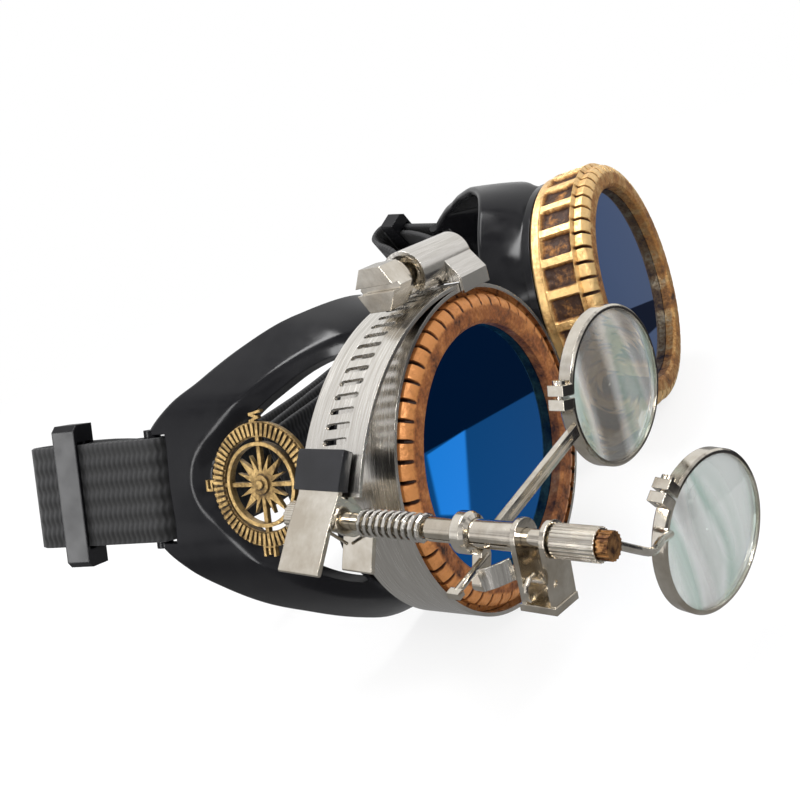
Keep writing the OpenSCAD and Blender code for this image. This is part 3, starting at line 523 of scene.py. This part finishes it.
def cup(name, place, node):
    """The moulding with its window, strap slot and bar, and the lug for the bridge."""
    angles = []
    a = 0.0
    while a < 360:
        angles.append(a)
        a += 1.2 if a < 54 or a >= 306 else 3.0
    sections = [shell_profile(t) for t in angles]
    n = len(sections[0])
    points = [(r * math.cos(math.radians(t)), b, r * math.sin(math.radians(t)))
              for t, sec in zip(angles, sections) for r, b in sec]
    faces = [[i * n + k, i * n + (k + 1) % n, ((i + 1) % len(angles)) * n + (k + 1) % n,
              ((i + 1) % len(angles)) * n + k] for i in range(len(angles)) for k in range(n)]
    o = piece(name, points, faces, GLOSS, place)
    cut(o, prism("cutter", window_outline(), CUT_FROM, CUT_TO, place, GLOSS))
    half = (STRAP_W + 1) / 2
    low, high = STRAP_Z - half, STRAP_Z + half
    slot = [(SLOT_Y[0], low), (SLOT_OPEN, low), (SLOT_OPEN, high), (SLOT_Y[0], high)]
    cut(o, prism("cutter", slot, CUT_FROM, CUT_TO, place, GLOSS))
    cut(o, bar("cutter", (*BAR_AT, STRAP_Z - half - 1), (*BAR_AT, STRAP_Z + half + 1), BAR_R, GLOSS, place),
        "UNION")
    front, back, end = LUG_AT[1] - LUG_W / 2, LUG_AT[1] + LUG_W / 2, LUG_H / 2
    lug = [(front, -end), (back, -end), (back, end), (front, end)]
    cut(o, prism("cutter", lug, LUG_AT[0] - LUG_PAST, LUG_AT[0] + LUG_ROOT, place, GLOSS), "UNION")
    rivet_x = LUG_AT[0] - RIVET_OFF
    cut(o, bar("cutter", (rivet_x, front - 2, 0), (rivet_x, back + 2, 0), RIVET_HOLE_R, GLOSS, place))
    shade(o.data, 42)
    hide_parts(node)
    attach(o, node)


cup("right_shell", RIGHT_CUP, "right_cup")
cup("left_shell", LEFT_CUP, "left_cup")

# Rims: thin raised ribs with rough hollows between them, and rounded teeth round the front edge
RIB_COUNT = 26
TOOTH_COUNT = 52
RIB_Y = (2.5, 9.8)
RIB_R = 29.5
RIB_SHARE = 0.24
GAP_SHARE = 0.10
SIDE_SHARE = 0.07
HOLLOW_D = 1.15
HOLLOW_END = 0.7
TOOTH_R = 26.3
TOOTH_D = 1.2
STEPS_PER_RIB = 26
RIM_ROWS = 16
# Section as radius and depth, from the sight's edge over the front, ribs and flange to the lens seat
RIM = [(23, -0.2), (23.6, -0.8), (24.4, -0.85), (25.2, -0.9), (26, -0.9), (26.6, -0.75), (27.2, -0.6),
       (27.7, -0.3), (28.05, 0), (28.4, 0.4), (28.4, 0.9), (28.4, 1.4), (28.4, 1.9), (28.95, 2.2)]
RIM += [(RIB_R, RIB_Y[0] + (RIB_Y[1] - RIB_Y[0]) * k / RIM_ROWS) for k in range(RIM_ROWS + 1)]
RIM += [(29.1, 10.3), (29.1, 11.9), (28.6, 12.4), (27.1, 12.4), (27.1, 3.75), (25.1, 3.75), (25.1, 1.65),
        (23, 1.65)]


def away(angle, count, width):
    """0 at whole pitches of the angle and 1 away from them; the width is a share of the pitch."""
    t = (angle * count / 360) % 1.0
    return ease((min(t, 1 - t) - width / 2) / SIDE_SHARE)


def rim(name, place, node, material):
    """A rim as a closed section carried round; its height attribute tells the paint what stands out."""
    steps = RIB_COUNT * STEPS_PER_RIB
    points, heights = [], []
    for i in range(steps):
        angle = 360 * i / steps
        a = math.radians(angle)
        hollow = away(angle + 180 / RIB_COUNT, RIB_COUNT, RIB_SHARE)
        tooth = away(angle + 180 / TOOTH_COUNT, TOOTH_COUNT, GAP_SHARE)
        for r, y in RIM:
            height = 1.0
            if r == RIB_R:
                ends = ease(min(y - RIB_Y[0], RIB_Y[1] - y) / HOLLOW_END)
                ripple = math.sin(3 * a * RIB_COUNT + 5 * math.sin(y * 1.3 + 7 * a))
                lumps = ripple * math.sin(2.1 * y + 11 * a)
                r -= hollow * ends * HOLLOW_D * (1 + lumps * 0.125)
                height = 1 - hollow * ends
            elif r > TOOTH_R and y < RIB_Y[0]:
                r -= (1 - tooth) * min(r - TOOTH_R, TOOTH_D)
                height = 0.25 + 0.75 * tooth
            elif y > RIB_Y[1]:
                height = 0.9
            elif r < TOOTH_R:
                height = 0.38
            points.append((r * math.cos(a), y, r * math.sin(a)))
            heights.append(height)
    n = len(RIM)
    faces = [[i * n + k, i * n + (k + 1) % n, ((i + 1) % steps) * n + (k + 1) % n, ((i + 1) % steps) * n + k]
             for i in range(steps) for k in range(n)]
    o = piece(name, points, faces, material, place, 35)
    layer = o.data.attributes.new("height", "FLOAT", "POINT")
    for k, value in enumerate(heights):
        layer.data[k].value = value
    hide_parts(node)
    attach(o, node if node == "left_rim" else "right_cup")


rim("right_rim_shape", RIGHT_CUP, "right_rim", COPPER)
rim("left_rim_shape", LEFT_CUP, "left_rim", GOLD)


# Ribbons along a smooth path: stations hold a place and the way the width points
EDGE_ROUND = 0.25


def on_cup(place, o, b, v):
    p = place @ Vector((o, b, v))
    return p, (place @ Vector((o, b, v + 1))) - p


def leaning(x, y, z, angle=0.0):
    a = math.radians(angle)
    return Vector((x, y, z)), Vector((math.sin(a), 0, math.cos(a)))


def spline(rows, steps):
    """Catmull-Rom through the stations; returns the places and width directions."""
    out = []
    for i in range(len(rows) - 1):
        a, b, c, d = (rows[min(max(k, 0), len(rows) - 1)] for k in (i - 1, i, i + 1, i + 2))
        for s in range(steps):
            t = s / steps
            out.append(tuple(
                0.5 * (2 * b[j] + (c[j] - a[j]) * t + (2 * a[j] - 5 * b[j] + 4 * c[j] - d[j]) * t**2
                       + (3 * b[j] - a[j] - 3 * c[j] + d[j]) * t**3) for j in (0, 1)))
    return out + [rows[-1]]


def ribbon(name, rows, width, thick, material, uv_name="strap"):
    """A flat strap with rounded edges; its UV map holds millimetres along and across."""
    half_w, half_t = width / 2, thick / 2
    flat = half_t * 0.4
    edge = [(EDGE_ROUND - half_w, -half_t), (-half_w, -flat), (-half_w, flat), (EDGE_ROUND - half_w, half_t)]
    lanes = 8
    top = [(EDGE_ROUND - half_w + (width - 2 * EDGE_ROUND) * k / lanes, half_t) for k in range(1, lanes)]
    section = edge + top + [(-u, -t) for u, t in edge] + [(-u, -t) for u, t in top]
    n = len(section)
    points, along, length = [], [], 0.0
    for i, (p, up) in enumerate(rows):
        ahead = (rows[min(i + 1, len(rows) - 1)][0] - rows[max(i - 1, 0)][0]).normalized()
        up = (up - up.dot(ahead) * ahead).normalized()
        side = ahead.cross(up)
        if i:
            length += (p - rows[i - 1][0]).length
        along.append(length)
        points += [p + u * up + t * side for u, t in section]
    faces = [[i * n + k, i * n + (k + 1) % n, (i + 1) * n + (k + 1) % n, (i + 1) * n + k]
             for i in range(len(rows) - 1) for k in range(n)]
    faces += [list(range(n)), list(range(len(points) - 1, len(points) - n - 1, -1))]
    o = piece(name, points, faces, material, smooth_below=60)
    layer = o.data.uv_layers.new(name=uv_name)
    for loop in o.data.loops:
        i, k = divmod(loop.vertex_index, n)
        layer.data[loop.index].uv = (along[i], section[k][0])
    return o


# Strap: from the loose end by each slider, round the bar, out again and over the fold
TONGUE_TURN = math.radians(22)
WRAP_R = BAR_R + 0.3 + STRAP_T / 2
LAYER_GAP = 2.6
SLIDER_L = 17
LANE_Y = (64, 60, 56)
FOLD_X = 68
# The loose lanes hang lower between the cups than where the wings hold them
SAG = -6


def tongue(length, off=0.0):
    c, s = math.cos(TONGUE_TURN), math.sin(TONGUE_TURN)
    return (BAR_AT[0] + (WRAP_R - off) * c + length * s, BAR_AT[1] - (WRAP_R - off) * s + length * c)


def wrap(degrees):
    a = math.radians(degrees) - TONGUE_TURN
    return BAR_AT[0] + WRAP_R * math.cos(a), BAR_AT[1] + WRAP_R * math.sin(a)


END = [tongue(SLIDER_L + 5, LAYER_GAP), tongue(SLIDER_L, LAYER_GAP), tongue(SLIDER_L - 5, LAYER_GAP),
       tongue(6, LAYER_GAP + 1)]
END += [wrap(a) for a in range(180, 361, 30)]
END += [tongue(4), tongue(12), tongue(SLIDER_L), tongue(23.5), tongue(25.6, 0.7), tongue(26.4, 3),
        tongue(25.4, 5.4), tongue(22, 7.2), tongue(14, 9.6)]
Y1, Y2, Y3 = LANE_Y
LANES = [leaning(x, y, z + SAG, a) for x, y, z, a in (
    (-10, Y1 + 1, 6, 14), (15, Y1, 1.5, 5), (45, Y1, 0.5, 0), (FOLD_X - 6, Y1, 1.5, -2),
    (FOLD_X, Y1 - 0.6, 1.8, -2), (FOLD_X, Y2 + 0.6, 1.8, -2), (FOLD_X - 6, Y2, 1.5, -2), (45, Y2, 0.5, 0),
    (15, Y2, 1.5, 3), (4, Y2, 2, 4), (0, Y2 - 0.6, 2, 4), (0, Y3 + 0.6, 2, 4), (4, Y3, 2, 4),
    (25, Y3, 0.5, 0), (56, Y3, 1.5, -3), (72, Y3 + 1.5, 3, -8), (82, Y3 + 8, 5, -16))]
strap_rows = ([on_cup(RIGHT_CUP, o, b, STRAP_Z) for o, b in END] + LANES
              + [on_cup(LEFT_CUP, o, b, STRAP_Z) for o, b in reversed(END)])
strap = ribbon("strap_webbing", spline(strap_rows, 8), STRAP_W, STRAP_T, WEB)
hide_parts("strap")
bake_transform(strap)

# Bridge strip between the two lugs
BRIDGE_T, BRIDGE_W = 1.6, 10
BRIDGE_Y = LUG_AT[1] + LUG_W / 2 + BRIDGE_T / 2 + 0.02
# Along a cup's outward axis from its lug: the strip's end, the start of its bend, the bend and its middle
BRIDGE_STATIONS = (1.6, -3.6, -4.4, -4.8)
ends = [[on_cup(place, LUG_AT[0] + d, BRIDGE_Y, 0) for d in BRIDGE_STATIONS]
        for place in (RIGHT_CUP, LEFT_CUP)]
middle = ((ends[0][3][0] + ends[1][3][0]) / 2, (ends[0][3][1] + ends[1][3][1]) / 2)
bend = spline(ends[0][1:3] + [middle] + ends[1][2:0:-1], 8)
bridge = ribbon("bridge_rubber", [ends[0][0]] + bend + [ends[1][0]], BRIDGE_W, BRIDGE_T, RUBBER)
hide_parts("bridge_strip")
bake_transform(bridge)

# Stage: white surroundings for the camera, grey and dark ones for metal and lenses to mirror
FLOOR_GAP = 0.0005
floor_z = min(c[2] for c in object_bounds()) - FLOOR_GAP
bpy.ops.mesh.primitive_plane_add(size=4, location=(0, 0, floor_z))
floor = bpy.context.object
floor.name = "floor"
floor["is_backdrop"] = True
table = Mat("floor")
table.base(Base_Color=(0.9, 0.9, 0.9), Roughness=0.9)
# What only mirror rays see on the floor, in millimetres: a dark area with a straight edge and a bright card,
# placed where the right lens mirrors them
CLOTH_EDGE = ((51.5, -57.9), (84.4, -36.8))
CLOTH_END = 150.0
CARD = ((22.7, -28.5), (61.4, -51.7), (49.0, -57.4), (22.4, -37.0))
flat = table.add("ShaderNodeSeparateXYZ")
table.put(flat, 0, table.obj)


def beyond(a, b):
    """1 on the right-hand side of the line from a to b on the floor."""
    nx, ny = b[1] - a[1], a[0] - b[0]
    size = math.hypot(nx, ny)
    across = table.math("ADD", table.math("MULTIPLY", flat.outputs[0], nx / size / MM),
                        table.math("MULTIPLY", flat.outputs[1], ny / size / MM))
    return table.span(table.math("SUBTRACT", across, (a[0] * nx + a[1] * ny) / size), -0.4, 0.4)


cloth = table.math("MULTIPLY", beyond(*CLOTH_EDGE), beyond((CLOTH_END, 1), (CLOTH_END, 0)))
card = beyond(CARD[0], CARD[1])
for k in (1, 2, 3):
    card = table.math("MULTIPLY", card, beyond(CARD[k], CARD[(k + 1) % 4]))
shown = table.mix(card, table.mix(cloth, (0.27, 0.27, 0.27), (0.035, 0.035, 0.04)), (1.0, 1.0, 1.0))
rays = table.add("ShaderNodeLightPath")
glow = table.add("ShaderNodeEmission")
table.put(glow, "Color", table.mix(rays.outputs["Is Glossy Ray"], (1.0, 1.0, 1.0), shown))
far = table.add("ShaderNodeVectorMath", operation="LENGTH")
table.put(far, 0, table.obj)
fade = table.span(far.outputs["Value"], 0.15, 0.40, 0.80, 1.0)
share = table.math("MAXIMUM", table.math("MULTIPLY", rays.outputs["Is Camera Ray"], fade),
                   rays.outputs["Is Glossy Ray"])
both = table.add("ShaderNodeMixShader")
table.put(both, 0, share)
table.put(both, 1, table.p.outputs[0])
table.put(both, 2, glow.outputs[0])
table.put(table.t.nodes["Material Output"], "Surface", both.outputs[0])
floor.data.materials.append(table.m)

world = bpy.data.worlds.new("world")
scene.world = world
world.use_nodes = True
wt = world.node_tree


def world_node(kind, inputs=(), **settings):
    n = wt.nodes.new(kind)
    for k, v in settings.items():
        setattr(n, k, v)
    for k, v in dict(inputs).items():
        if isinstance(v, bpy.types.NodeSocket):
            wt.links.new(v, n.inputs[k])
        else:
            n.inputs[k].default_value = v
    return n


# What shiny pieces see: a room of bright and dark bands across the side that the camera is on
way = world_node("ShaderNodeTexCoord").outputs["Generated"]
CAMERA_SIDE = (-0.62, -0.70, 0.36)
BAND_SPREAD = 0.62
facing = world_node("ShaderNodeVectorMath", {0: way, 1: CAMERA_SIDE}, operation="DOT_PRODUCT")
toward = facing.outputs["Value"]
room = world_node("ShaderNodeTexNoise", {"Vector": way, "Scale": 2.6, "Detail": 1.5}).outputs["Fac"]
mixed = world_node("ShaderNodeMath", {0: toward, 1: room}, operation="ADD").outputs[0]
spread = world_node("ShaderNodeMath", {0: mixed, 1: BAND_SPREAD}, operation="MULTIPLY").outputs[0]
steps = world_node("ShaderNodeValToRGB", {"Fac": spread})
bands = steps.color_ramp.elements
for place, grey in ((0.30, 0.90), (0.40, 0.30), (0.47, 0.95), (0.56, 0.12), (0.64, 0.95), (0.74, 0.25),
                    (0.84, 0.80), (1.0, 0.06)):
    e = bands.new(place) if place < 1 else bands[-1]
    e.color = (grey, grey, grey * 1.02, 1)
bands[0].color = (0.9, 0.9, 0.9, 1)
seen = world_node("ShaderNodeBackground", {"Color": steps.outputs["Color"], "Strength": 1.0})
even = world_node("ShaderNodeBackground", {"Color": (1, 1, 1, 1), "Strength": 0.75})
white = world_node("ShaderNodeBackground", {"Color": (1, 1, 1, 1), "Strength": 1.0})
path = world_node("ShaderNodeLightPath")
mirrored = path.outputs["Is Glossy Ray"]
direct = path.outputs["Is Camera Ray"]
through = path.outputs["Is Transmission Ray"]
inner = world_node("ShaderNodeMixShader", {0: mirrored, 1: even.outputs[0], 2: seen.outputs[0]})
clear = world_node("ShaderNodeMath", {0: direct, 1: through}, operation="MAXIMUM")
outer = world_node("ShaderNodeMixShader", {0: clear.outputs[0], 1: inner.outputs[0], 2: white.outputs[0]})
wt.links.new(outer.outputs[0], wt.nodes["World Output"].inputs["Surface"])


def lamp(name, place, target, size, watts, size_y=None):
    data = bpy.data.lights.new(name, "AREA")
    data.shape = "RECTANGLE"
    data.size = size
    data.size_y = size_y or size
    data.energy = watts
    o = bpy.data.objects.new(name, data)
    scene.collection.objects.link(o)
    o.location = place
    o.rotation_euler = (Vector(target) - Vector(place)).to_track_quat("-Z", "Y").to_euler()
    return o


lamp("key", (-0.35, -0.45, 0.55), (0.03, 0.0, 0.0), 0.25, 3.5)
lamp("top", (0.05, 0.15, 0.6), (0.03, 0.0, 0.0), 0.4, 3.0, 0.15)
lamp("side", (-0.6, 0.25, 0.2), (0.0, 0.02, 0.0), 0.12, 1.5, 0.4)

scene.view_settings.view_transform = "Standard"
